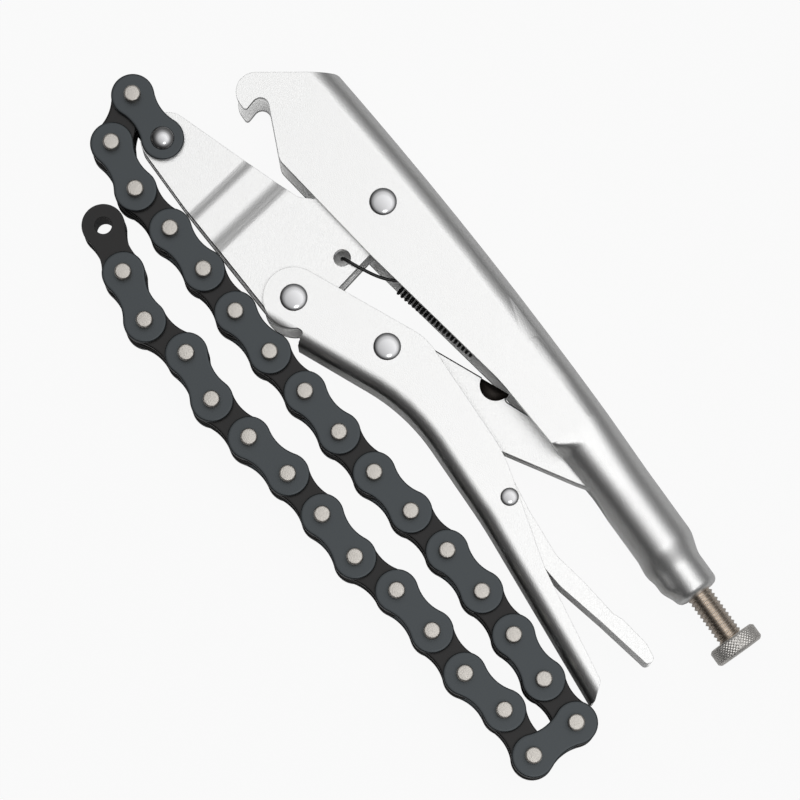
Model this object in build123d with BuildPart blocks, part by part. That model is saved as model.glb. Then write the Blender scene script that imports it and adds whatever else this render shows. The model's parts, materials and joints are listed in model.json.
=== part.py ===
"""Locking chain clamp: pressed steel handles, over-centre toggle and a length of roller chain.

The clamp lies on its side. X runs along the fixed handle to the adjusting screw, Y points to the
handle's back, and the origin is below the middle of the whole clamp, on the surface it lies on.
Outlines are drawn from the fixed handle's pivot, on the plane halfway through the clamp.
"""

import os
from math import atan2, cos, hypot, radians, sin

from build123d import *

# Pressed steel channels
wall = 2.2
channel_width = 22.8
back_bend = 7.5
lower_bend = 4.5

# Fixed handle, from nose to tail
hook_nose = (-60.7, -17.4)
hook_nose_radius = 5.9
hook_tip = (-46.4, -17.5)
notch_apex = (-49.0, -8.2)
notch_radius = 2.64
belly = (-28.2, -17.8)
front_top = (-39.7, 12.2)
slope_start = -20.0
back_height = 17.8
back_radius = 1450.0
roll_start = 88.0
roll_end = 112.0
roll_step = 0.1
tube_radius = 9.2
neck_start = 133.0
neck_end = 139.0
neck_radius = 7.1
tail_end = 149.5
tail_rounding = 3.0
thread_seat = 12.5
seam_width = 1.8
blank_nose = -75.0
blank_depth = 40.0

# Linkage pivots, from the fixed handle's pivot
arm_pivot = (8.0, -38.4)
toggle_pivot = (36.2, -24.4)
lever_pivot = (93.8, -21.1)
toggle_end = (110.8, 8.6)
screw_height = 8.6

# Rivets
rivet_radius = 3.0
rivet_head_radius = 4.15
rivet_head_height = 0.9
lever_rivet_radius = 2.0
lever_rivet_head_radius = 2.75
pivot_clearance = 0.05

# Chain arm, two cranked plates
arm_plate = 4.0
arm_side_gap = 0.3
arm_tip_gap = 0.15
arm_tip_radius = 6.6
arm_middle = -36.0
crank_angle = 8.3
crank_start = -32.6
crank_end = -18.8
arm_blank = 80.0
spring_hole = (6.4, -19.6)
spring_hole_radius = 2.6

# Toggle, release lever, screw and spring
toggle_thickness = 7.0
toggle_boss_radius = 7.3
toggle_end_radius = 3.8
toggle_notch_radius = 4.7
toggle_edge = 0.4
screw_radius = 4.0
screw_clearance = 0.1
screw_gap = 0.9
knob_radius = 7.8
knob_thickness = 5.3
knob_start = 165.4
lever_wall = 1.6
lever_side_gap = 0.4
spring_wire = 1.0
spring_radius = 3.2
spring_length = 30.0
hook_clearance = 0.2
spring_level = 4.7
spring_start = (22.5, -9.0)
spring_slope = 13.0
tab_thickness = 1.6
tab_hole = (63.0, 3.0)
tab_hole_radius = 1.0
tab_margin = 3.0
tab_low = 0.5
tab_weld = 0.2

# Roller chain, 5/8 inch pitch
pitch = 15.875
plate = 2.03
lobe_radius = 6.5
waist = 4.8
roller_radius = 5.08
roller_width = 9.4
side_play = 0.07
pin_radius = 2.54
pin_length = 24.6
bush_clearance = 0.04
pin_chamfer = 0.4
anchor = (-54.5, -42.2)
anchor_head_radius = 3.6
anchor_head_height = 1.6
first_heading = 179.0
turns = (
    [122.5, 50.0, 14.0, -2.0, -2.0, 3.0, 1.5, -2.0, 1.5, 2.0]
    + [-0.5, -2.5, -4.0, -2.0, 2.5, -89.0, -95.0, 14.5, -9.5, 3.5]
    + [10.0, -13.5, 2.5, 6.5, -2.0, -16.0, 23.0, -27.5, -1.0]
)

inner_width = channel_width - 2 * wall
arm_spread = inner_width - 2 * arm_side_gap
lever_width = inner_width - 2 * lever_side_gap
hook_level = arm_spread / 2 + hook_clearance + spring_wire / 2
inner_plate_face = roller_width / 2 + plate
outer_plate_face = inner_plate_face + side_play + plate
arm_tip_spread = 2 * (inner_plate_face + side_play - arm_tip_gap)

# Chain pins in their lying pose: the anchor first, then one for each link's far end
headings = [first_heading]
for turn in turns:
    headings.append(headings[-1] + turn)
pins = [anchor]
for heading in headings:
    x, y = pins[-1]
    pins.append((x + pitch * cos(radians(heading)), y + pitch * sin(radians(heading))))

# The clamp's extent, which fixes where the pivot lies from the origin
left = min(x for x, y in pins) - lobe_radius
right = knob_start + knob_thickness
front = min(y for x, y in pins) - lobe_radius
pivot_x = -(left + right) / 2
pivot_y = -(front + back_height) / 2
half_height = max(pin_length / 2, channel_width / 2 + rivet_head_height)
mid = Plane(origin=(pivot_x, pivot_y, half_height))
screw_axis = Axis(mid.from_local_coords((0, screw_height, 0)), (1, 0, 0))


def across(x, y=screw_height):
    """The plane square to the handle's length at x, with its X across the clamp."""
    return Plane(origin=mid.from_local_coords((x, y, 0)), x_dir=(0, 0, -1), z_dir=(1, 0, 0))


def rounded_outline(corners):
    """A face inside a closed outline of corners (x, y, rounding radius)."""
    with BuildLine() as edge:
        FilletPolyline(
            *[(x, y) for x, y, radius in corners],
            radius=[radius for x, y, radius in corners],
            close=True,
        )
    make_face(edge.line)


def through_holes(centres, radius):
    """Cut round holes through the whole thickness of the piece being built."""
    with BuildSketch(mid.offset(-channel_width)) as holes:
        with Locations(*centres):
            Circle(radius)
    extrude(holes.sketch, amount=2 * channel_width, mode=Mode.SUBTRACT)


def back_at(x):
    """Height of the fixed handle's bowed back."""
    return back_height - (roll_start - x) ** 2 / (2 * back_radius)


def back_bar(width, inset, bend):
    """A solid bar under the bowed back, with the two long edges of the back rounded."""
    stations = [blank_nose, (blank_nose + roll_start) / 2, roll_start]
    with BuildPart() as bar:
        with BuildSketch(mid.offset(-width / 2)):
            with BuildLine():
                ThreePointArc(*[(x, back_at(x) - inset) for x in stations])
                Polyline(
                    (roll_start, back_height - inset),
                    (roll_start, -blank_depth),
                    (blank_nose, -blank_depth),
                    (blank_nose, back_at(blank_nose) - inset),
                )
            make_face()
        extrude(amount=width)
        fillet(bar.edges().filter_by(GeomType.CIRCLE), bend)
    return bar.part


def tail_section(x, low, high, width, lower_rounding, upper_rounding):
    """Rounded section of the rolled tail at x, between two heights."""
    with BuildSketch(across(x, (low + high) / 2)) as section:
        Rectangle(width, high - low)
        corners = section.vertices().group_by(Axis.Y)
        fillet(corners[-1], upper_rounding)
        fillet(corners[0], lower_rounding)
    return section.sketch


def nearly_round(radius):
    """A round section with four tiny flats, so that it lofts from a rounded square edge by edge."""
    RectangleRounded(2 * radius, 2 * radius, radius - 0.05)


# Fixed handle: one sheet, folded to a channel, with hooks at the nose and a rolled tail
roll_low = -1.6
fixed_outline = [
    (*hook_nose, hook_nose_radius),
    (*hook_tip, 0.9),
    (*notch_apex, notch_radius),
    (*belly, 4.0),
    (12.0, -12.2, 60.0),
    (64.0, -3.1, 60.0),
    (roll_start, roll_low, 0),
    (roll_start, back_height + 2, 0),
    (slope_start, back_at(slope_start) + 0.6, 0),
    (*front_top, 3.0),
]
outer_bar = back_bar(channel_width, 0, back_bend)
inner_bar = back_bar(inner_width, wall, back_bend - wall)
with BuildPart() as roll_core:
    add(tail_section(roll_start, roll_low + wall, back_height - wall, inner_width, 0.5, back_bend - wall))
    with BuildSketch(across(roll_end)):
        nearly_round(tube_radius - wall + roll_step)
    loft()
with BuildPart() as fixed_handle:
    add(outer_bar)
    with BuildSketch(mid.offset(-channel_width / 2)):
        rounded_outline(fixed_outline)
    extrude(amount=channel_width, mode=Mode.INTERSECT)
    add(inner_bar, mode=Mode.SUBTRACT)
    add(tail_section(roll_start, roll_low, back_height, channel_width, 0.8, back_bend))
    with BuildSketch(across(roll_end)):
        nearly_round(tube_radius - roll_step)
    loft()
    add(roll_core.part, mode=Mode.SUBTRACT)
    bore_radius = screw_radius + screw_clearance
    with BuildSketch(mid):
        rounded_outline(
            [
                (roll_end, screw_height + tube_radius, 0),
                (neck_start, screw_height + tube_radius, 3.0),
                (neck_end, screw_height + neck_radius, 3.0),
                (tail_end, screw_height + neck_radius, tail_rounding - 0.4),
                (tail_end, screw_height + bore_radius, 0),
                (tail_end - thread_seat, screw_height + bore_radius, 0),
                (tail_end - thread_seat - 3, screw_height + tube_radius - wall, 0),
                (roll_end, screw_height + tube_radius - wall, 0),
            ]
        )
    revolve(axis=screw_axis)
    below = across(roll_start, -blank_depth).origin
    with BuildSketch(Plane(origin=below, x_dir=(1, 0, 0), z_dir=(0, 1, 0))):
        mouth = inner_width / 2
        slot = [(-4, mouth), (0, mouth), (19, 5.6), (30, seam_width / 2), (46, seam_width / 2)]
        with BuildLine():
            Polyline(*slot, *[(x, -z) for x, z in reversed(slot)], close=True)
        make_face()
    extrude(amount=blank_depth + screw_height, mode=Mode.SUBTRACT)
    through_holes([(0, 0)], rivet_radius)
    tab_top = back_height - wall + tab_weld
    with BuildSketch(mid.offset(spring_level - tab_thickness / 2)):
        with Locations((tab_hole[0], (tab_low + tab_top) / 2)):
            Rectangle(2 * tab_margin, tab_top - tab_low)
        with Locations(tab_hole):
            Circle(tab_hole_radius, mode=Mode.SUBTRACT)
    extrude(amount=tab_thickness)
fixed_handle.part.label = "fixed_handle"


def rivet(name, centre, radius, head_radius, head_height, face):
    """A rivet with a shallow domed head on each side, its heads seated at plus and minus face."""
    dome_radius = (head_radius**2 + head_height**2) / (2 * head_height)
    top = face + head_height
    x, y = centre
    with BuildPart() as piece:
        with BuildSketch(Plane(origin=mid.from_local_coords((x, y, 0)), x_dir=(1, 0, 0), z_dir=(0, -1, 0))):
            with BuildLine():
                Polyline((0, top), (0, -top))
                RadiusArc((0, -top), (head_radius, -face), -dome_radius)
                Polyline((head_radius, -face), (radius, -face), (radius, face), (head_radius, face))
                RadiusArc((head_radius, face), (0, top), -dome_radius)
            make_face()
        revolve(axis=Axis(mid.from_local_coords((x, y, 0)), (0, 0, 1)))
    piece.part.label = name
    return piece


def spacers(name, centre, outer_radius, bore, stretches):
    """Plain rings on one rivet, each filling one stretch (low, high) across the clamp."""
    with BuildPart() as piece:
        for low, high in stretches:
            with BuildSketch(mid.offset(low)):
                with Locations(centre):
                    Circle(outer_radius)
                    Circle(bore, mode=Mode.SUBTRACT)
            extrude(amount=high - low)
    piece.part.label = name
    return piece


# Chain arm: two plates cranked towards each other, so that the tip fits inside the first link
arm_outline = [
    (-61.5, -35.2, 6.0),
    (-60.6, -49.0, arm_tip_radius),
    (-33.6, -48.9, 40.0),
    (13.0, -46.6, 8.0),
    (14.8, -34.0, 6.0),
    (10.0, -10.5, 4.0),
    (9.4, 8.6, 8.4),
    (-9.4, 8.6, 8.4),
    (-9.6, -12.0, 8.0),
    (-16.2, -19.7, 6.0),
]
tilt = radians(crank_angle)
crank_side = Plane(
    origin=mid.from_local_coords((0, arm_middle, 0)),
    x_dir=(cos(tilt), sin(tilt), 0),
    z_dir=(-sin(tilt), cos(tilt), 0),
)
arm_face = arm_spread / 2
tip_face = arm_tip_spread / 2


def chain_arm_plate(name, side):
    """One cranked plate of the arm. side is -1 for the upper plate and 1 for the one below."""
    with BuildPart() as piece:
        with BuildSketch(crank_side):
            rounded_outline(
                [
                    (-arm_blank, side * tip_face, 0),
                    (crank_start, side * tip_face, 10.0),
                    (crank_end, side * arm_face, 16.0),
                    (arm_blank, side * arm_face, 0),
                    (arm_blank, side * (arm_face - arm_plate), 0),
                    (crank_end, side * (arm_face - arm_plate), 16.0),
                    (crank_start, side * (tip_face - arm_plate), 10.0),
                    (-arm_blank, side * (tip_face - arm_plate), 0),
                ]
            )
        extrude(amount=arm_blank, both=True)
        with BuildSketch(mid.offset(-channel_width / 2)):
            rounded_outline(arm_outline)
        extrude(amount=channel_width, mode=Mode.INTERSECT)
        through_holes([(0, 0), arm_pivot], rivet_radius + pivot_clearance)
        through_holes([anchor], pin_radius + pivot_clearance)
        if side < 0:
            through_holes([spring_hole], spring_hole_radius)
    piece.part.label = name
    return piece


arm_plate_upper = chain_arm_plate("arm_plate_upper", -1)
arm_plate_lower = chain_arm_plate("arm_plate_lower", 1)
arm_gap = arm_face - arm_plate
tip_gap = tip_face - arm_plate
handle_spacer = spacers(
    "handle_spacer", (0, 0), rivet_radius + 2.5, rivet_radius + pivot_clearance, [(-arm_gap, arm_gap)]
)
arm_spacer = spacers(
    "arm_spacer", arm_pivot, rivet_radius + 2.5, rivet_radius + pivot_clearance, [(-arm_gap, arm_gap)]
)
anchor_spacer = spacers(
    "anchor_spacer", anchor, pin_radius + 2.0, pin_radius + pivot_clearance, [(-tip_gap, tip_gap)]
)
handle_rivet = rivet(
    "handle_rivet", (0, 0), rivet_radius, rivet_head_radius, rivet_head_height, channel_width / 2
)
arm_rivet = rivet(
    "arm_rivet", arm_pivot, rivet_radius, rivet_head_radius, rivet_head_height, channel_width / 2
)
toggle_rivet = rivet(
    "toggle_rivet", toggle_pivot, rivet_radius, rivet_head_radius, rivet_head_height, channel_width / 2
)
lever_rivet = rivet(
    "lever_rivet", lever_pivot, lever_rivet_radius, lever_rivet_head_radius, 0.7, channel_width / 2
)
anchor_rivet = rivet(
    "anchor_rivet", anchor, pin_radius, anchor_head_radius, anchor_head_height, outer_plate_face
)

# Lower handle: one sheet, folded to a channel open towards the fixed handle, with two bare ears
web_corners = [(-6.0, -57.0), (54.4, -30.35), (95.0, -31.4), (160.0, -37.3)]
web_bends = [60.0, 150.0]
ear_radius = 9.2
lower_tail = 157.5


def lower_bar(width, inset, bend):
    """A solid bar above the lower handle's web, with the two long edges of the web rounded."""
    with BuildPart() as bar:
        with BuildSketch(mid.offset(-width / 2)):
            with BuildLine():
                web = FilletPolyline(*[(x, y + inset) for x, y in web_corners], radius=web_bends)
                Polyline(web @ 1, (web_corners[-1][0], 0), (web_corners[0][0], 0), web @ 0)
            make_face()
        extrude(amount=width)
        low = [edge for edge in bar.edges() if is_web_edge(edge, width, inset)]
        fillet(low, bend)
    return bar.part


def is_web_edge(edge, width, inset):
    """Whether an edge runs along one side of the web, not across it or round the other faces."""
    middle = mid.to_local_coords(edge @ 0.5)
    flat = abs(abs(middle.Z) - width / 2) < 0.01
    ends = [mid.to_local_coords(edge @ t) for t in (0, 1)]
    low = all(end.Y < web_corners[1][1] / 1.2 for end in ends)
    return flat and low and abs(ends[0].X - ends[1].X) > 1


lower_outline = [
    (4.6, -29.87, 0),
    (40.8, -13.4, 18.0),
    (82.0, -14.7, 50.0),
    (117.0, -25.0, 50.0),
    (153.6, -31.1, 2.0),
    (lower_tail, -36.0, 1.0),
    (lower_tail - 1.0, -50.0, 0),
    (20.9, -47.7, 0),
    (18.1, -41.9, 1.2),
    (14.6, -43.4, 2.5),
    (10.0, -44.0, 0),
]
lower_outer = lower_bar(channel_width, 0, lower_bend)
lower_inner = lower_bar(inner_width, wall, lower_bend - wall)
with BuildPart() as lower_handle:
    add(lower_outer)
    with BuildSketch(mid.offset(-channel_width / 2)):
        rounded_outline(lower_outline)
        with Locations(arm_pivot):
            Circle(ear_radius)
    extrude(amount=channel_width, mode=Mode.INTERSECT)
    add(lower_inner, mode=Mode.SUBTRACT)
    with BuildSketch(mid.offset(-inner_width / 2)):
        with BuildLine():
            Polyline((-6, -60), (21.4, -48.7), (17.4, -39.6), (-6, -30), close=True)
        make_face()
    extrude(amount=inner_width, mode=Mode.SUBTRACT)
    through_holes([arm_pivot, toggle_pivot], rivet_radius)
    through_holes([lever_pivot], lever_rivet_radius)
lower_handle.part.label = "lower_handle"

# Toggle: a thick link from the lower handle to the screw's end, widest in the middle
reach = hypot(toggle_end[0] - toggle_pivot[0], toggle_end[1] - toggle_pivot[1])
rise = atan2(toggle_end[1] - toggle_pivot[1], toggle_end[0] - toggle_pivot[0])
toggle_side = Plane(
    origin=mid.from_local_coords((*toggle_pivot, 0)), x_dir=(cos(rise), sin(rise), 0), z_dir=(0, 0, 1)
)
with BuildPart() as toggle_link:
    with BuildSketch(toggle_side.offset(-toggle_thickness / 2)):
        rounded_outline(
            [
                (0, toggle_boss_radius, 0),
                (36.0, toggle_boss_radius, 0),
                (38.5, 4.7, 2.0),
                (reach, toggle_end_radius, 0),
                (reach, -toggle_end_radius, 0),
                (0.846 * reach, -6.1, 30.0),
                (34.0, -10.6, 18.0),
                (0, -toggle_boss_radius, 0),
            ]
        )
        Circle(toggle_boss_radius)
        with Locations((reach, 0)):
            Circle(toggle_end_radius)
        with Locations((33.2, toggle_boss_radius)):
            Circle(toggle_notch_radius, mode=Mode.SUBTRACT)
        Circle(rivet_radius + pivot_clearance, mode=Mode.SUBTRACT)
    extrude(amount=toggle_thickness)
    chamfer(toggle_link.faces().filter_by(Axis.Z).edges().filter_by(GeomType.LINE), toggle_edge)
toggle_link.part.label = "toggle_link"
toggle_side_gap = toggle_thickness / 2 + 0.1
toggle_spacers = spacers(
    "toggle_spacers",
    toggle_pivot,
    rivet_radius + 2.5,
    rivet_radius + pivot_clearance,
    [(-inner_width / 2, -toggle_side_gap), (toggle_side_gap, inner_width / 2)],
)

# Release lever: a small pressed channel with its web on the side of the lower handle
lever_outline = [
    (73.8, -21.6, 1.0),
    (77.5, -19.4, 1.5),
    (90.0, -17.0, 6.0),
    (100.0, -18.5, 8.0),
    (116.0, -19.8, 6.0),
    (127.0, -17.8, 12.0),
    (139.5, -16.3, 2.0),
    (142.5, -15.0, 2.0),
    (152.5, -13.5, 4.0),
    (158.4, -14.4, 1.5),
    (157.4, -17.0, 1.2),
    (140.0, -20.5, 20.0),
    (124.0, -24.2, 10.0),
    (98.0, -26.6, 10.0),
    (85.0, -25.6, 5.0),
    (73.8, -23.6, 1.0),
]
with BuildPart() as release_lever:
    with BuildSketch(mid.offset(-lever_width / 2)):
        rounded_outline(lever_outline)
    extrude(amount=lever_width)
    with BuildSketch(mid.offset(lever_wall - lever_width / 2)):
        rounded_outline(
            [(x, y + (lever_wall if y < -20.3 and x > 80 else 0), r) for x, y, r in lever_outline[7:13]]
            + [(85.0, -24.0, 2.0), (70.0, -22.0, 0), (70.0, -10.0, 0), (140.0, -10.0, 0)]
        )
    extrude(amount=lever_width - 2 * lever_wall, mode=Mode.SUBTRACT)
    through_holes([lever_pivot], lever_rivet_radius + pivot_clearance)
release_lever.part.label = "release_lever"

# Adjusting screw: a plain shank, as its thread is too fine to matter here, with a round head
tip_x = toggle_end[0] + toggle_end_radius + screw_gap
knob_end = knob_start + knob_thickness
with BuildPart() as adjusting_screw:
    with BuildSketch(mid):
        rounded_outline(
            [
                (tip_x, screw_height, 0),
                (tip_x, screw_height + screw_radius, 0.8),
                (knob_start, screw_height + screw_radius, 0),
                (knob_start, screw_height + knob_radius, 0.6),
                (knob_end, screw_height + knob_radius, 0.9),
                (knob_end, screw_height, 0),
            ]
        )
    revolve(axis=screw_axis)
adjusting_screw.part.label = "adjusting_screw"

# Return spring: the close coil is a plain sleeve as wide as the coil, with a wire hook at each end
slope = radians(spring_slope)
coil_axis = Plane(
    origin=mid.from_local_coords((*spring_start, spring_level)),
    x_dir=(-sin(slope), cos(slope), 0),
    z_dir=(cos(slope), sin(slope), 0),
)
coil_end_x = spring_start[0] + spring_length * cos(slope)
coil_end_y = spring_start[1] + spring_length * sin(slope)


def wire_hook(points, rounding):
    """Round wire through points (x, y, z) from the fixed handle's pivot, with rounded corners."""
    with BuildLine() as path:
        FilletPolyline(*[mid.from_local_coords(point) for point in points], radius=rounding)
    with BuildSketch(Plane(origin=path.line @ 0, z_dir=path.line % 0)) as section:
        Circle(spring_wire / 2)
    return sweep(section.sketch, path=path.line)


with BuildPart() as return_spring:
    with BuildSketch(coil_axis) as coil:
        Circle(spring_radius + spring_wire / 2)
        Circle(spring_radius - spring_wire / 2, mode=Mode.SUBTRACT)
    extrude(coil.sketch, amount=spring_length)
    front_top_z = spring_level + spring_radius
    wire_hook(
        [
            (spring_start[0] + 1.0, spring_start[1] + 0.2, front_top_z),
            (spring_start[0] - 4.0, spring_start[1] - 4.4, front_top_z + 0.1),
            (12.8, -16.8, hook_level),
            (*spring_hole, hook_level),
            (*spring_hole, hook_level - 4.0),
        ],
        0.9,
    )
    wire_hook(
        [
            (coil_end_x - 1.0, coil_end_y - 2.6, spring_level + 1.9),
            (coil_end_x + 3.0, coil_end_y + 0.2, spring_level + 1.4),
            (*tab_hole, spring_level + 1.4),
            (*tab_hole, spring_level - 1.6),
        ],
        0.9,
    )
return_spring.part.label = "return_spring"

# Roller chain: outer links carry the pins, inner links carry the bushes with their rollers
half_pitch = pitch / 2
waist_radius = (half_pitch**2 + waist**2 - lobe_radius**2) / (2 * (lobe_radius - waist))
waist_centre = waist + waist_radius
lobe_reach = hypot(half_pitch, waist_centre)
shoulder_x = lobe_radius * half_pitch / lobe_reach
shoulder_y = lobe_radius * waist_centre / lobe_reach


def link_plane(number, level=0.0):
    """The plane of one link at a level, with its origin on the first pin and X along the link."""
    heading = radians(headings[number - 1])
    x, y = pins[number - 1]
    return Plane(
        origin=mid.from_local_coords((x, y, level)), x_dir=(cos(heading), sin(heading), 0), z_dir=(0, 0, 1)
    )


def link_plates(number, face, bore):
    """The two waisted plates of a link, with their outer faces at plus and minus face."""
    for level in (-face, face - plate):
        with BuildSketch(link_plane(number, level)) as outline:
            with BuildLine() as edge:
                ThreePointArc((shoulder_x, shoulder_y), (-lobe_radius, 0), (shoulder_x, -shoulder_y))
                far_x = pitch - shoulder_x
                ThreePointArc((shoulder_x, -shoulder_y), (half_pitch, -waist), (far_x, -shoulder_y))
                ThreePointArc((far_x, -shoulder_y), (pitch + lobe_radius, 0), (far_x, shoulder_y))
                ThreePointArc((far_x, shoulder_y), (half_pitch, waist), (shoulder_x, shoulder_y))
            make_face(edge.line)
            with Locations((0, 0), (pitch, 0)):
                Circle(bore, mode=Mode.SUBTRACT)
        extrude(outline.sketch, amount=plate)


def outer_link(number):
    """An outer link with its pins, and only the far pin on the link that the arm's rivet holds."""
    ends = [(pitch, 0)] if number == 1 else [(0, 0), (pitch, 0)]
    with BuildPart() as piece:
        link_plates(number, outer_plate_face, pin_radius)
        for end in ends:
            with BuildPart(link_plane(number, -pin_length / 2), mode=Mode.PRIVATE) as pin:
                with Locations(end):
                    Cylinder(pin_radius, pin_length, align=(Align.CENTER, Align.CENTER, Align.MIN))
                chamfer(pin.edges().filter_by(GeomType.CIRCLE), pin_chamfer)
            add(pin.part)
    return piece


def inner_link(number):
    """An inner link with its two bushes, each with its roller."""
    bore = pin_radius + bush_clearance
    with BuildPart() as piece:
        link_plates(number, inner_plate_face, bore)
        with BuildSketch(link_plane(number, -roller_width / 2)) as rings:
            with Locations((0, 0), (pitch, 0)):
                Circle(roller_radius)
                Circle(bore, mode=Mode.SUBTRACT)
        extrude(rings.sketch, amount=roller_width)
    return piece


links = []
for number in range(1, len(pins)):
    link = outer_link(number) if number % 2 else inner_link(number)
    link.part.label = f"chain_link_{number:02d}"
    links.append(link)

os.makedirs("parts", exist_ok=True)
for piece in [
    fixed_handle,
    handle_rivet,
    adjusting_screw,
    arm_plate_upper,
    arm_plate_lower,
    handle_spacer,
    arm_spacer,
    anchor_spacer,
    lower_handle,
    arm_rivet,
    toggle_rivet,
    lever_rivet,
    toggle_link,
    toggle_spacers,
    release_lever,
    return_spring,
    anchor_rivet,
    *links,
]:
    export_step(piece.part, f"parts/{piece.part.label}.step")
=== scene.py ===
import json
from math import cos, pi, radians, sin

import bmesh
import bpy
import numpy as np
from mathutils import Matrix, Vector


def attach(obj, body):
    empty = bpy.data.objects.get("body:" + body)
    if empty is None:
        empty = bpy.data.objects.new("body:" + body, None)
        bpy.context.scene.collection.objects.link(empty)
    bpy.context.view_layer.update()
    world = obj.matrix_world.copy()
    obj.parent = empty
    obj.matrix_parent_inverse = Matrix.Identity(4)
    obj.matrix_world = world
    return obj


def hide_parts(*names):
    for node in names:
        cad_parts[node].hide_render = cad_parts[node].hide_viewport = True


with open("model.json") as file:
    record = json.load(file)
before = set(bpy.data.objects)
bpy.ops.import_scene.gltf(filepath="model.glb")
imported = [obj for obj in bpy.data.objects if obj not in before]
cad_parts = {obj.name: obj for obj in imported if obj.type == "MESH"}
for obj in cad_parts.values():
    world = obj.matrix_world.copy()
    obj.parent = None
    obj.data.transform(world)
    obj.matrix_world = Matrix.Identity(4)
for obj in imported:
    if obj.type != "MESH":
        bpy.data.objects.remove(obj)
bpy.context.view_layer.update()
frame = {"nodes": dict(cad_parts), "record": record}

# Camera: stands high over the clamp and a little towards the screw, turned so that the
# handles run from the upper left to the lower right of the picture.
PIVOT = np.array([-46.915, 33.54, 12.3])
SENSOR, LENS = 36.0, 212.36
NEAREST, FARTHEST = 0.05, 20.0
EYE, AIM = (194.96, -133.48, 1400.0), (50.27, -29.80, 0.0)
PICTURE_UP = (-0.8128, 0.5825, 0.0)


def place(points):
    """Points (x, y, z) in mm from the fixed handle's pivot, given back in metres from the origin."""
    return (np.asarray(points, float) + PIVOT) / 1000.0


camera_data = bpy.data.cameras.new("camera")
camera_data.sensor_width = SENSOR
camera_data.lens = LENS
camera_data.clip_start = NEAREST
camera_data.clip_end = FARTHEST
camera = bpy.data.objects.new("camera", camera_data)
bpy.context.scene.collection.objects.link(camera)
eye = Vector(place(EYE))
ahead = (Vector(place(AIM)) - eye).normalized()
side = ahead.cross(Vector(PICTURE_UP)).normalized()
rise = side.cross(ahead)
camera.matrix_world = Matrix(
    (
        (side.x, rise.x, -ahead.x, eye.x),
        (side.y, rise.y, -ahead.y, eye.y),
        (side.z, rise.z, -ahead.z, eye.z),
        (0.0, 0.0, 0.0, 1.0),
    )
)
bpy.context.scene.camera = camera

# Light: a white ceiling over the clamp and darker walls round it, brighter behind than in front,
# so that flat plated faces come out white and bends turn grey. One small lamp gives the rivets
# their bright spots. The camera itself sees white all round.
LEVEL_BY_HEIGHT = [(0.0, 0.10), (0.30, 0.10), (0.58, 0.15), (0.76, 0.34), (0.88, 0.80), (0.95, 1.15)]
FRONT, BACK = (-0.6, 0.30), (0.35, 1.3)  # each a direction's Y and the walls' level there
LAMP, LAMP_AIM, LAMP_SIZE, LAMP_POWER = (420.0, -150.0, 1250.0), (50.0, -20.0, 0.0), 0.30, 0.5
scene = bpy.context.scene
scene.view_settings.view_transform = "Standard"
world = bpy.data.worlds.new("studio")
scene.world = world
world.use_nodes = True
nodes, links = world.node_tree.nodes, world.node_tree.links
nodes.clear()
out = nodes.new("ShaderNodeOutputWorld")
coords = nodes.new("ShaderNodeTexCoord")
parts = nodes.new("ShaderNodeSeparateXYZ")
links.new(coords.outputs["Generated"], parts.inputs[0])
ramp = nodes.new("ShaderNodeValToRGB")
ramp.color_ramp.interpolation = "EASE"
stops = ramp.color_ramp.elements
for (height, level), stop in zip([LEVEL_BY_HEIGHT[0], LEVEL_BY_HEIGHT[-1]], [stops[0], stops[1]]):
    stop.position, stop.color = height, (level, level, level, 1)
for height, level in LEVEL_BY_HEIGHT[1:-1]:
    stops.new(height).color = (level, level, level, 1)
links.new(parts.outputs["Z"], ramp.inputs[0])
around = nodes.new("ShaderNodeMapRange")
around.inputs["From Min"].default_value, around.inputs["To Min"].default_value = FRONT
around.inputs["From Max"].default_value, around.inputs["To Max"].default_value = BACK
around.clamp = True
links.new(parts.outputs["Y"], around.inputs["Value"])
lift = nodes.new("ShaderNodeMixRGB")
lift.blend_type = "MULTIPLY"
lift.inputs["Fac"].default_value = 1.0
links.new(ramp.outputs["Color"], lift.inputs["Color1"])
links.new(around.outputs["Result"], lift.inputs["Color2"])
surround = nodes.new("ShaderNodeBackground")
surround.inputs["Strength"].default_value = 1.0
links.new(lift.outputs["Color"], surround.inputs["Color"])
white = nodes.new("ShaderNodeBackground")
white.inputs["Color"].default_value = (1, 1, 1, 1)
path = nodes.new("ShaderNodeLightPath")
mix = nodes.new("ShaderNodeMixShader")
links.new(path.outputs["Is Camera Ray"], mix.inputs["Fac"])
links.new(surround.outputs["Background"], mix.inputs[1])
links.new(white.outputs["Background"], mix.inputs[2])
links.new(mix.outputs["Shader"], out.inputs["Surface"])
lamp_data = bpy.data.lights.new("softbox", "AREA")
lamp_data.shape = "DISK"
lamp_data.size = LAMP_SIZE
lamp_data.energy = LAMP_POWER
lamp = bpy.data.objects.new("softbox", lamp_data)
scene.collection.objects.link(lamp)
lamp.location = Vector(place(LAMP))
lamp.rotation_euler = (Vector(place(LAMP_AIM)) - lamp.location).to_track_quat("-Z", "Y").to_euler()

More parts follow.
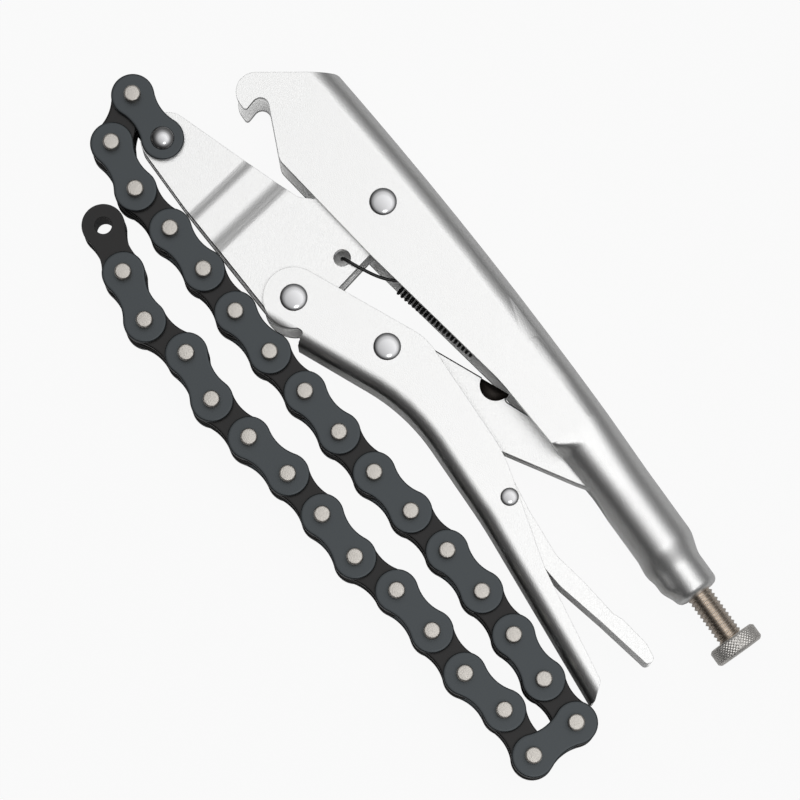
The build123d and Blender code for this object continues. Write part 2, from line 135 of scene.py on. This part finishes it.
# Floor: white paper, seen by the camera as white with a faint shadow under the clamp. Metal
# sees only a little of its glow, so that the sides of the clamp stay dark.
FLOOR_REACH, PAPER, PAPER_ROUGHNESS = 3.0, 0.72, 0.9
CAMERA_GLOW, MIRRORED_GLOW = 0.93, 0.05
floor_mesh = bpy.data.meshes.new("floor")
corners = [(x * FLOOR_REACH, y * FLOOR_REACH, 0) for x, y in [(-1, -1), (1, -1), (1, 1), (-1, 1)]]
floor_mesh.from_pydata(corners, [], [(0, 1, 2, 3)])
floor = bpy.data.objects.new("floor", floor_mesh)
scene.collection.objects.link(floor)
paper = bpy.data.materials.new("white_paper")
paper.use_nodes = True
nodes, links = paper.node_tree.nodes, paper.node_tree.links
sheet = nodes["Principled BSDF"]
sheet.inputs["Base Color"].default_value = (PAPER, PAPER, PAPER, 1)
sheet.inputs["Roughness"].default_value = PAPER_ROUGHNESS
glow = nodes.new("ShaderNodeEmission")
path = nodes.new("ShaderNodeLightPath")
share = nodes.new("ShaderNodeMath")
share.operation = "MULTIPLY"
share.inputs[1].default_value = CAMERA_GLOW
glossy = nodes.new("ShaderNodeMath")
glossy.operation = "MULTIPLY_ADD"
glossy.inputs[1].default_value = MIRRORED_GLOW
links.new(path.outputs["Is Glossy Ray"], glossy.inputs[0])
links.new(path.outputs["Is Camera Ray"], glossy.inputs[2])
links.new(glossy.outputs[0], share.inputs[0])
mix = nodes.new("ShaderNodeMixShader")
links.new(share.outputs[0], mix.inputs["Fac"])
links.new(sheet.outputs["BSDF"], mix.inputs[1])
links.new(glow.outputs["Emission"], mix.inputs[2])
links.new(mix.outputs["Shader"], nodes["Material Output"].inputs["Surface"])
floor.data.materials.append(paper)

# Fixed handle: one steel sheet folded to a channel with two claws at its nose, satin plated. Its
# tail is rolled to a tube round the screw. The seam of the roll faces the lower handle and closes
# to a slit, the tube ends in a neck, and the sheet's lips curl out beside it.
ROLL, ROLL_END, NECK_START, NECK, TAIL_END = 88.0, 112.0, 131.5, 140.5, 149.5
TUBE, WALL, CHANNEL, TAIL_Y = 9.2, 2.2, 11.4, 8.6
LOWER_BEND, UPPER_BEND, BEND_RUN = 0.8, 7.5, 6.5
SEAM_PLACES, SEAM_WIDTHS = [88, 94, 108, 118, 134, 136], [9.2, 5.0, 4.6, 0.9, 0.9, 0.02]
NECK_DROP, END_ROUNDING, SCREW_HOLE, HOLE_START, ROUND_FROM = 2.1, 2.4, 4.1, 136, 120
LIP, LIP_SPREAD, LIP_RISE, LIP_FALL = 1.9, 0.22, (131, 138), (142, 148)
GRAIN_DEPTH, ROUNDS, STRIDE = 0.0002, 24, 0.7


def steel(name, color, roughness, grain=0.0, grain_mm=0.3, spread=0.0, edge_mm=0.0, metallic=1.0):
    """Metal with fine grain: noise of the stated size drives a small bump and the roughness."""
    material = bpy.data.materials.new(name)
    material.use_nodes = True
    nodes, links = material.node_tree.nodes, material.node_tree.links
    shader = nodes["Principled BSDF"]
    shader.inputs["Base Color"].default_value = (*color, 1)
    shader.inputs["Metallic"].default_value = metallic
    shader.inputs["Roughness"].default_value = roughness
    coords = nodes.new("ShaderNodeTexCoord")
    noise = nodes.new("ShaderNodeTexNoise")
    noise.inputs["Scale"].default_value = 1000.0 / grain_mm
    noise.inputs["Detail"].default_value = 2.0
    links.new(coords.outputs["Object"], noise.inputs["Vector"])
    if spread:
        spread_map = nodes.new("ShaderNodeMapRange")
        spread_map.inputs["From Min"].default_value = 0.3
        spread_map.inputs["From Max"].default_value = 0.7
        spread_map.inputs["To Min"].default_value = max(roughness - spread, 0.02)
        spread_map.inputs["To Max"].default_value = roughness + spread
        links.new(noise.outputs["Fac"], spread_map.inputs["Value"])
        links.new(spread_map.outputs["Result"], shader.inputs["Roughness"])
    bump = nodes.new("ShaderNodeBump")
    bump.inputs["Strength"].default_value = grain
    bump.inputs["Distance"].default_value = GRAIN_DEPTH
    links.new(noise.outputs["Fac"], bump.inputs["Height"])
    if edge_mm:
        rounding = nodes.new("ShaderNodeBevel")
        rounding.samples = 6
        rounding.inputs["Radius"].default_value = edge_mm / 1000.0
        links.new(rounding.outputs["Normal"], bump.inputs["Normal"])
    links.new(bump.outputs["Normal"], shader.inputs["Normal"])
    return material


def smooth_copy(node, name, body, material, angle=32.0, shape=None):
    """A copy of a CAD node's mesh with its corners merged, smooth over every fold under the angle."""
    source = frame["nodes"][node]
    mesh = bpy.data.meshes.new(name)
    work = bmesh.new()
    work.from_mesh(source.data)
    work.transform(source.matrix_world)
    bmesh.ops.remove_doubles(work, verts=work.verts, dist=2e-6)
    if shape:
        shape(work)
    for face in work.faces:
        face.smooth = True
    for edge in work.edges:
        edge.smooth = len(edge.link_faces) == 2 and edge.calc_face_angle(0.0) < radians(angle)
    work.to_mesh(mesh)
    work.free()
    piece = bpy.data.objects.new(name, mesh)
    scene.collection.objects.link(piece)
    weigh = piece.modifiers.new("even_normals", "WEIGHTED_NORMAL")
    weigh.keep_sharp = True
    mesh.materials.append(material)
    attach(piece, body)
    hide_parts(node)
    return piece


def cut_everywhere(work, spots, direction, clear=False):
    """Cuts a mesh by parallel planes at spots (mm from the pivot), and drops what lies ahead if asked."""
    for spot in spots:
        geometry = work.verts[:] + work.edges[:] + work.faces[:]
        bmesh.ops.bisect_plane(
            work, geom=geometry, dist=1e-7, plane_co=place(spot), plane_no=direction, clear_outer=clear
        )


def closed_rings(rings):
    """Faces (quads) between neighbouring rings of an array (ring, point, xyz) closed along each ring."""
    count, size = rings.shape[:2]
    ring, point = np.meshgrid(np.arange(count - 1), np.arange(size), indexing="ij")
    onward = (point + 1) % size
    here, there = ring * size, (ring + 1) * size
    quads = np.stack([here + point, here + onward, there + onward, there + point], axis=-1)
    return rings.reshape(-1, 3), quads.reshape(-1, 4)


def rolled(x, low, high, half, lower_turn, upper_turn, angle):
    """Distance from the screw's axis to a rounded box section, at an angle from the seam.

    Each point steps outwards by most of its signed distance to the box, until it lies on it.
    """
    distance = np.full(np.broadcast(x, angle).shape, TUBE)
    for _ in range(ROUNDS):
        across, up = distance * np.sin(angle), -distance * np.cos(angle)
        middle, size = (low + high) / 2, (high - low) / 2
        turn = np.where(up < middle, lower_turn, upper_turn)
        over_x, over_y = np.abs(across) - (half - turn), np.abs(up - middle) - (size - turn)
        outside = np.hypot(np.maximum(over_x, 0), np.maximum(over_y, 0))
        distance = distance - STRIDE * (outside + np.minimum(np.maximum(over_x, over_y), 0) - turn)
    return distance


def eased_step(x, start, end):
    """Rises from 0 to 1 between two places, level at both."""
    share = np.clip((x - start) / (end - start), 0, 1)
    return share * share * (3 - 2 * share)


x = [np.linspace(ROLL + 0.5, 96, 17), np.linspace(97, 131, 24), np.linspace(132, TAIL_END, 50)]
x = np.concatenate(x)[:, None]
share = np.clip((x - ROLL) / (ROLL_END - ROLL), 0, 1)
start = np.arctan2(np.interp(x, SEAM_PLACES, SEAM_WIDTHS), TUBE + 0.4)
angle = start + (2 * pi - 2 * start) * np.linspace(0, 1, 97)[None, :]
low, high = share - TUBE - 1.0, TUBE + 0 * share
half = CHANNEL - (CHANNEL - TUBE) * eased_step(x, ROLL, ROLL_END + 2)
lower_turn = LOWER_BEND + 8.3 * eased_step(x, ROLL, ROLL + BEND_RUN)
outer = rolled(x, low, high, half, lower_turn, UPPER_BEND + 1.6 * share, angle)
last = np.clip((x - TAIL_END + END_ROUNDING) / END_ROUNDING, 0, 1)
neck = TUBE - NECK_DROP * eased_step(x, NECK_START, NECK) - END_ROUNDING * (1 - np.sqrt(1 - last**2))
lips = LIP * eased_step(x, *LIP_RISE) * (1 - eased_step(x, *LIP_FALL))
lips = lips * np.exp(-(((1 - np.cos(angle)) / LIP_SPREAD) ** 2))
outer = np.where(x < ROUND_FROM, outer, np.minimum(outer, neck)) + lips
inner = np.minimum(outer - WALL, np.where(x > HOLE_START, SCREW_HOLE, np.inf))
radius = np.concatenate([outer, inner[:, ::-1]], axis=1)
angle = np.concatenate([angle, angle[:, ::-1]], axis=1)
x = np.concatenate([x, x[-1:]])
radius = np.concatenate([radius, (radius[-1:] + radius[-1:, ::-1]) / 2])
angle = np.concatenate([angle, angle[-1:]])
across = np.broadcast_to(x, radius.shape)
tail = np.stack([across, TAIL_Y - radius * np.cos(angle), radius * np.sin(angle)], -1)
spots, quads = closed_rings(tail)
tail_mesh = bpy.data.meshes.new("rolled_tail")
tail_mesh.from_pydata(place(spots).tolist(), [], quads.tolist())


def with_rolled_tail(work):
    """Cuts the handle's copy where the roll starts, and joins the rolled tail to the cut."""
    cut_everywhere(work, [(ROLL, 0.0, 0.0)], (1, 0, 0), clear=True)
    work.from_mesh(tail_mesh)
    bmesh.ops.remove_doubles(work, verts=work.verts, dist=1e-7)
    bmesh.ops.bridge_loops(work, edges=[edge for edge in work.edges if edge.is_boundary])
    bmesh.ops.recalc_face_normals(work, faces=work.faces)


plating = steel(
    "satin_plating", (0.95, 0.95, 0.945), 0.36, grain=0.30, grain_mm=0.3, spread=0.05, edge_mm=0.2
)
SHEET = "plated_steel"
smooth_copy("fixed_handle", "fixed_handle_sheet", "handle_body", plating, shape=with_rolled_tail)

# Lower handle: a second folded channel, plated like the first and open towards the toggle.
# Its mesh is the CAD one, smoothed over its bends.
smooth_copy("lower_handle", "lower_handle_sheet", "lower_handle_body", plating)

# Chain arm: two thick plates with the chain's anchor between their tips. Each is pressed out in
# two steps, from the narrow tip to the wide end in the handles.
CRANK_TILT, ARM_MIDDLE = radians(8.3), -36.0
CRANK_START, CRANK_STOP, CUT = -36.0, -12.9, 0.5
TIP_LEVEL, RAMP_START, RAMP, RISE = 6.65, -32.6, 13.8, 2.25
FIRST_STEP, FIRST_RUN, FIRST_RISE = -33.6, 4.2, 0.9
SECOND_STEP, SECOND_RUN, SECOND_RISE = -23.0, 6.2, 1.35


def crank_height(x):
    """Height of the arm's outer face along the crank: two pressed steps with a level shelf between."""
    first = FIRST_RISE * eased_step(x, FIRST_STEP, FIRST_STEP + FIRST_RUN)
    return TIP_LEVEL + first + SECOND_RISE * eased_step(x, SECOND_STEP, SECOND_STEP + SECOND_RUN)


def two_steps(work):
    """Bends an arm plate's copy from one straight ramp to the two steps that the press leaves."""
    along = np.array([cos(CRANK_TILT), sin(CRANK_TILT), 0.0])
    base = np.array([0.0, ARM_MIDDLE, 0.0])
    cut_everywhere(work, [base + x * along for x in np.arange(CRANK_START, CRANK_STOP, CUT)], tuple(along))
    for corner in work.verts:
        spot = np.array(corner.co) * 1000.0 - PIVOT
        x = float((spot - base) @ along)
        if CRANK_START < x < CRANK_STOP - 0.1:
            ramp = TIP_LEVEL + RISE * min(max((x - RAMP_START) / RAMP, 0.0), 1.0)
            corner.co.z += np.sign(spot[2]) * (float(crank_height(x)) - ramp) / 1000.0


smooth_copy("arm_plate_upper", "arm_upper_sheet", "chain_arm", plating, shape=two_steps)
smooth_copy("arm_plate_lower", "arm_lower_sheet", "chain_arm", plating, shape=two_steps)

# Toggle: a thick forging between the lower handle and the screw's end. Its round notch keeps a
# thin web at half its thickness, coloured near black as painted shade of the recess.
NOTCH_X, TOGGLE_EDGE, NOTCH, WEB, TOGGLE_RISE = 33.2, 7.3, 4.75, 0.8, radians(23.86)


def build(name, surfaces, materials, body, slot, *nodes):
    """One piece from surfaces (ring array in mm from the pivot, material number), welded where they meet."""
    points, quads, which, start = [], [], [], 0
    for rings, number in surfaces:
        spots, faces = closed_rings(np.asarray(rings, float))
        points.append(spots)
        quads.append(faces + start)
        which.append(np.full(len(faces), number))
        start += len(spots)
    mesh = bpy.data.meshes.new(name)
    mesh.from_pydata(place(np.concatenate(points)).tolist(), [], np.concatenate(quads).tolist())
    mesh.polygons.foreach_set("material_index", np.concatenate(which))
    mesh.polygons.foreach_set("use_smooth", np.ones(len(mesh.polygons), bool))
    work = bmesh.new()
    work.from_mesh(mesh)
    bmesh.ops.remove_doubles(work, verts=work.verts, dist=1e-7)
    bmesh.ops.recalc_face_normals(work, faces=work.faces)
    work.to_mesh(mesh)
    work.free()
    for material in materials:
        mesh.materials.append(material)
    piece = bpy.data.objects.new(name, mesh)
    scene.collection.objects.link(piece)
    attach(piece, body)
    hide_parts(*nodes)
    return piece


def laid(rings, start, heading):
    """Rings drawn along X from the origin, turned to a heading and moved to a pin."""
    turn = np.array([[cos(heading), -sin(heading)], [sin(heading), cos(heading)]])
    moved = np.array(rings, float)
    moved[..., :2] = moved[..., :2] @ turn.T + start
    return moved


smooth_copy("toggle_link", "toggle_block", "toggle", plating)
joints = {joint["name"]: joint for joint in frame["record"]["behaviour"]["joints"]}
# The web's near black brown is painted shade of the notch, not the forging's own colour.
notch_shade_steel = steel("web_painted_shade", (0.035, 0.028, 0.024), 0.5, grain=0.2, grain_mm=0.5, metallic=0.6)
toggle_pin = np.array(joints["toggle_pivot"]["pos_m"][:2]) * 1000.0 - PIVOT[:2]
arc = np.linspace(pi, 2 * pi, 25)
rim = np.column_stack([NOTCH_X + NOTCH * np.cos(arc), TOGGLE_EDGE + NOTCH * np.sin(arc)])
middle = np.broadcast_to([NOTCH_X, TOGGLE_EDGE - 2.0], rim.shape)
levels = [(middle, -WEB), (rim, -WEB), (rim, WEB), (middle, WEB)]
web = np.stack([np.column_stack([spots, np.full(len(arc), level)]) for spots, level in levels])
build("toggle_web", [(laid(web, toggle_pin, TOGGLE_RISE), 0)], [notch_shade_steel], "toggle", SHEET, "toggle_link")

# Release lever: a small pressed channel on a rivet through the lower handle, plated like it.
# Its mesh is the CAD one, smoothed over its bends.
smooth_copy("release_lever", "lever_sheet", "lever", plating)

# Chain: 5/8 inch pitch roller chain of black oxidised steel. Outer links are pressed onto the
# pins, inner links onto the bushes, and every second link is narrower and lies inside.
PITCH, LOBE, WAIST = 15.875, 6.5, 4.8
EDGE_STEPS = [(0.9, 0.0), (0.34, 0.0), (0.1, 0.1), (0.0, 0.34)]
OUTER_LEVELS, INNER_LEVELS = [(6.80, 8.83), (-8.83, -6.80)], [(4.70, 6.73), (-6.73, -4.70)]
PIN_END = [(0, 12.3), (1.9, 12.3), (2.2, 12.26), (2.45, 12.1), (2.54, 11.85)]
BORE, BUSH, ROLLER, BUSH_END, ROLLER_END = 2.58, 3.6, 5.08, 6.73, 4.7


def turned(profile, centre=(0.0, 0.0), around=48):
    """Round shape about an upright axis: each profile point (radius, height) becomes one ring."""
    profile = np.asarray(profile, float)
    angle = np.linspace(0.0, 2.0 * pi, around, endpoint=False)
    radius, height = profile[:, :1], profile[:, 1:]
    return np.stack(
        [
            centre[0] + radius * np.cos(angle),
            centre[1] + radius * np.sin(angle),
            np.broadcast_to(height, (len(profile), around)),
        ],
        axis=-1,
    )


def plate_outline(lobe_points=36, waist_points=14):
    """Outline of a link plate and its outward directions: arcs about both pins, hollow arcs between."""
    half = PITCH / 2
    hollow = (half**2 + WAIST**2 - LOBE**2) / (2 * (LOBE - WAIST))
    far = WAIST + hollow
    lean = np.arctan2(far, half)
    lobe = np.linspace(lean, 2 * pi - lean, lobe_points, endpoint=False)
    dip = np.linspace(pi - lean, lean, waist_points, endpoint=False)
    lobe_dir = np.stack([np.cos(lobe), np.sin(lobe)], 1)
    dip_dir = np.stack([np.cos(dip), np.sin(dip)], 1)
    left = LOBE * lobe_dir
    lower = np.array([half, -far]) + hollow * dip_dir
    first = np.concatenate([left, lower])
    first_out = np.concatenate([lobe_dir, -dip_dir])
    return np.concatenate([first, [PITCH, 0] - first]), np.concatenate([first_out, -first_out])


def link_plate(low, high):
    """Plate between two heights: rings step over its rounded edge and close on the line of pins."""
    edge, outward = plate_outline()
    spine = np.stack([np.clip(edge[:, 0], 0, PITCH), np.zeros(len(edge))], 1)
    rings = [np.column_stack([spine, np.full(len(edge), low)])]
    for inset, climb in EDGE_STEPS:
        rings.append(np.column_stack([edge - inset * outward, np.full(len(edge), low + climb)]))
    for inset, climb in reversed(EDGE_STEPS):
        rings.append(np.column_stack([edge - inset * outward, np.full(len(edge), high - climb)]))
    rings.append(np.column_stack([spine, np.full(len(edge), high)]))
    return np.stack(rings)


oxide = steel("oxide_outer", (0.070, 0.079, 0.085), 0.34, grain=0.06, grain_mm=0.5, metallic=0.7)
# The inner links take a darker, less metallic copy of the oxide: painted shade of their place below and
# between the outer plates.
oxide_inner_painted_shade = steel("oxide_inner_painted_shade", (0.020, 0.019, 0.019), 0.30, grain=0.05, grain_mm=0.5, metallic=0.5)
oxide_end_painted_shade = steel(
    "oxide_end_painted_shade", (0.020, 0.019, 0.019), 0.30, grain=0.05, grain_mm=0.5, edge_mm=0.35, metallic=0.5
)
pin_steel = steel("pin_steel", (0.60, 0.57, 0.53), 0.34, grain=0.5, grain_mm=0.35)
spots = [joints[f"chain_joint_{number:02d}"]["pos_m"] for number in range(1, 31)]
spots.append(frame["record"]["mounts"][0]["pos_m"])
pins = [np.array(spot[:2]) * 1000.0 - PIVOT[:2] for spot in spots]
pin_profile = [(radius, -height) for radius, height in PIN_END] + PIN_END[::-1]
bush_half = [(BORE, BUSH_END), (BUSH, BUSH_END), (BUSH, ROLLER_END), (ROLLER, ROLLER_END)]
bush_profile = [(radius, -height) for radius, height in bush_half] + bush_half[::-1] + [(BORE, -BUSH_END)]
for number in range(1, 31):
    start, end = pins[number - 1], pins[number]
    heading = float(np.arctan2(*(end - start)[::-1]))
    node, body = f"chain_link_{number:02d}", f"link_{number:02d}"
    levels = OUTER_LEVELS if number % 2 else INNER_LEVELS
    surfaces = [(laid(link_plate(low, high), start, heading), 0) for low, high in levels]
    if number % 2:
        for spot in [end] if number == 1 else [start, end]:
            surfaces.append((turned(pin_profile, spot), 1))
        build(f"outer_{number:02d}", surfaces, [oxide, pin_steel], body, "outer_link_steel", node)
    elif number < 30:
        for spot in [start, end]:
            surfaces.append((turned(bush_profile, spot), 0))
        build(f"inner_{number:02d}", surfaces, [oxide_inner_painted_shade], body, "inner_link_steel", node)
    else:
        smooth_copy(node, "inner_open", body, oxide_end_painted_shade)

# Rivets: solid steel, set cold, with low button heads polished by the dies and the plating.
# The anchor's head is higher, and holds the plates of the first link. Each rivet's sizes are the
# radius and height of its head, the radius of its shank and the height of the face it sits on.
rivet_steel = steel("polished_rivets", (0.60, 0.60, 0.61), 0.10)
HANDLE_RIVET, LEVER_RIVET, ANCHOR = (4.15, 0.9, 3.0, 11.4), (2.75, 0.7, 2.0, 11.4), (3.6, 1.6, 2.54, 8.83)


def button_head(head, height, shank, face, rings=14):
    """Profile of a two-headed rivet: each head is a quarter ellipse from its top down to its rim."""
    turn = np.linspace(0.0, pi / 2, rings)
    dome = np.stack([head * np.sin(turn), face + height * np.cos(turn)], 1)
    corner = [[head, face], [shank, face]]
    upper = np.concatenate([dome, corner])
    return np.concatenate([upper, (upper * [1, -1])[::-1]])


for node, joint, sizes, body, name in [
    ("handle_rivet", "arm_pivot", HANDLE_RIVET, "handle_body", "rivet_handle"),
    ("arm_rivet", "handle_pivot", HANDLE_RIVET, "lower_handle_body", "rivet_arm"),
    ("toggle_rivet", "toggle_pivot", HANDLE_RIVET, "lower_handle_body", "rivet_toggle"),
    ("lever_rivet", "lever_pivot", LEVER_RIVET, "lower_handle_body", "rivet_lever"),
    ("anchor_rivet", "chain_joint_01", ANCHOR, "link_01", "rivet_anchor"),
]:
    centre = np.array(joints[joint]["pos_m"][:2]) * 1000.0 - PIVOT[:2]
    head = turned(button_head(*sizes), centre, 64)
    build(name, [(head, 0)], [rivet_steel], body, "polished_steel", node)

# Adjusting screw: nickel plated, with a rolled thread and a round head with a diamond knurl.
# The thread tapers off at its inner end, and the knurl fades towards the head's rounded rims.
SHANK_START, SHANK_END, HEAD_START, HEAD_END, SCREW_Y = 115.5, 165.6, 165.4, 170.7, 8.6
THREAD, THREAD_RADIUS, THREAD_DEPTH, POINT = 1.4, 4.0, 0.62, 3.3
KNOB, KNURLS, KNURL_PITCH, KNURL_DEPTH, RIM, KNOB_FACE = 7.8, 44, 1.1, 0.26, 0.85, 6.2
screw_steel = steel("nickel_thread", (0.72, 0.64, 0.56), 0.22, grain=0.05, grain_mm=0.3)
knurl_steel = steel("nickel_knurl", (0.98, 0.95, 0.91), 0.34, grain=0.10, grain_mm=0.25)


def wave(phase):
    """Triangle wave of period 1 that runs from 0 to 1 and back."""
    return np.abs(2.0 * (phase - np.floor(phase)) - 1.0)


def along_screw(x, radius):
    """Rings about the screw's axis from arrays (ring, point): place along the screw and radius."""
    angle = np.broadcast_to(np.linspace(0, 2 * pi, radius.shape[1], endpoint=False), radius.shape)
    across = np.broadcast_to(x, radius.shape)
    return np.stack([across, SCREW_Y + radius * np.cos(angle), radius * np.sin(angle)], -1)


x = np.concatenate([[SHANK_START], np.linspace(SHANK_START, SHANK_END, 300), [SHANK_END]])[:, None]
turn = np.linspace(0, 1, 48, endpoint=False)[None, :]
depth = np.clip(1.15 * wave(x / THREAD - turn), 0, 1)
radius = THREAD_RADIUS - THREAD_DEPTH * depth * np.clip((x - SHANK_START - 0.1) / 1.5, 0, 1)
radius = np.minimum(radius, POINT + (x - SHANK_START) * 0.7)
radius[[0, -1]] = 0.0
thread = along_screw(x, radius)
x = np.linspace(HEAD_START, HEAD_END, 44)
x = np.concatenate([[HEAD_START, HEAD_START], x, [HEAD_END, HEAD_END]])[:, None]
turn = np.linspace(0, 1, 288, endpoint=False)[None, :]
rim = np.minimum(1.0, np.minimum((x - HEAD_START) / 0.8, (HEAD_END - x) / 0.9))
cuts = np.maximum(wave(turn * KNURLS + x / KNURL_PITCH), wave(turn * KNURLS - x / KNURL_PITCH))
grooves = KNURL_DEPTH * np.clip(cuts * 1.8 - 0.8, 0, 1) * np.clip(rim * 1.6, 0, 1)
radius = KNOB - RIM * (1 - rim) ** 1.5 - grooves
radius[[0, -1]] = 0.0
radius[1] = 3.2
radius[-2] = KNOB_FACE
knob = along_screw(x, radius)
build("screw_thread", [(thread, 0)], [screw_steel], "screw", "screw_steel", "adjusting_screw")
build("screw_knob", [(knob, 0)], [knurl_steel], "screw", "screw_steel", "adjusting_screw")

# Return spring: a close coil of spring wire, coloured near black as painted shade of the channel it
# lies in. One end hooks into the arm's upper plate and the other into the tab under the fixed handle's back.
WIRE, COIL, COIL_PITCH, TURNS, COIL_LEAN = 0.5, 3.2, 1.5, 20, radians(13.0)
COIL_START = np.array([22.5, -9.0, 4.7])
# The wire's near black colour is painted shade of the channel, not the wire's own finish.
spring_wire_painted_shade = steel("spring_wire_painted_shade", (0.045, 0.045, 0.045), 0.3, metallic=0.8)


def tube(path, across, radius, around=12):
    """Round wire: at each path point a ring in the plane of across and its normal to the path."""
    ahead = np.gradient(path, axis=0)
    ahead /= np.linalg.norm(ahead, axis=1)[:, None]
    first = np.cross(ahead, across)
    first /= np.linalg.norm(first, axis=1)[:, None]
    second = np.cross(ahead, first)
    angle = np.linspace(0, 2 * pi, around, endpoint=False)[:, None]
    rings = path[:, None] + radius * (np.cos(angle) * first[:, None] + np.sin(angle) * second[:, None])
    ends = [np.broadcast_to(path[[i]], (around, 3)) for i in (0, -1)]
    return np.concatenate([ends[0][None], rings, ends[1][None]])


def eased(corners, times=3):
    """Path with its corners cut in quarters, a few times over, so that the wire bends smoothly."""
    path = np.asarray(corners, float)
    for _ in range(times):
        low = 0.75 * path[:-1] + 0.25 * path[1:]
        high = 0.25 * path[:-1] + 0.75 * path[1:]
        middle = np.stack([low, high], 1).reshape(-1, 3)
        path = np.concatenate([path[:1], middle, path[-1:]])
    return path


coil_ahead = np.array([cos(COIL_LEAN), sin(COIL_LEAN), 0.0])
coil_side = np.array([-sin(COIL_LEAN), cos(COIL_LEAN), 0.0])
turn = np.linspace(0.0, TURNS, TURNS * 20 + 1)[:, None]
coil = COIL_START + turn * COIL_PITCH * coil_ahead
coil = coil + COIL * (np.cos(2 * pi * turn) * [0, 0, 1] + np.sin(2 * pi * turn) * coil_side)
coil_end = COIL_START + TURNS * COIL_PITCH * coil_ahead
front_hook = eased([coil[0], (18.5, -13.4, 8.0), (12.8, -16.8, 9.6), (6.4, -19.6, 9.7), (6.4, -19.6, 5.6)])
rear_hook = eased([coil_end + [-1, -2.6, 1.9], coil_end + [3, 0.2, 1.4], (63.0, 3.0, 6.2), (63.0, 3.0, 3.1)])
surfaces = [(tube(coil, coil_ahead, WIRE), 0)]
for hook in [front_hook, rear_hook]:
    run = hook[-1] - hook[0]
    surfaces.append((tube(hook, np.cross(run, [0, 0, 1.0]) / np.linalg.norm(run), WIRE), 0))
build("spring_coil", surfaces, [spring_wire_painted_shade], "handle_body", "spring_steel", "return_spring")

# Spacers: plain washers and bushes that keep the plates apart inside the channels. They are the
# CAD ones, plated like the sheets.
for node in frame["nodes"].values():
    if not node.data.materials:
        node.data.materials.append(None)
    node.data.materials[0] = plating
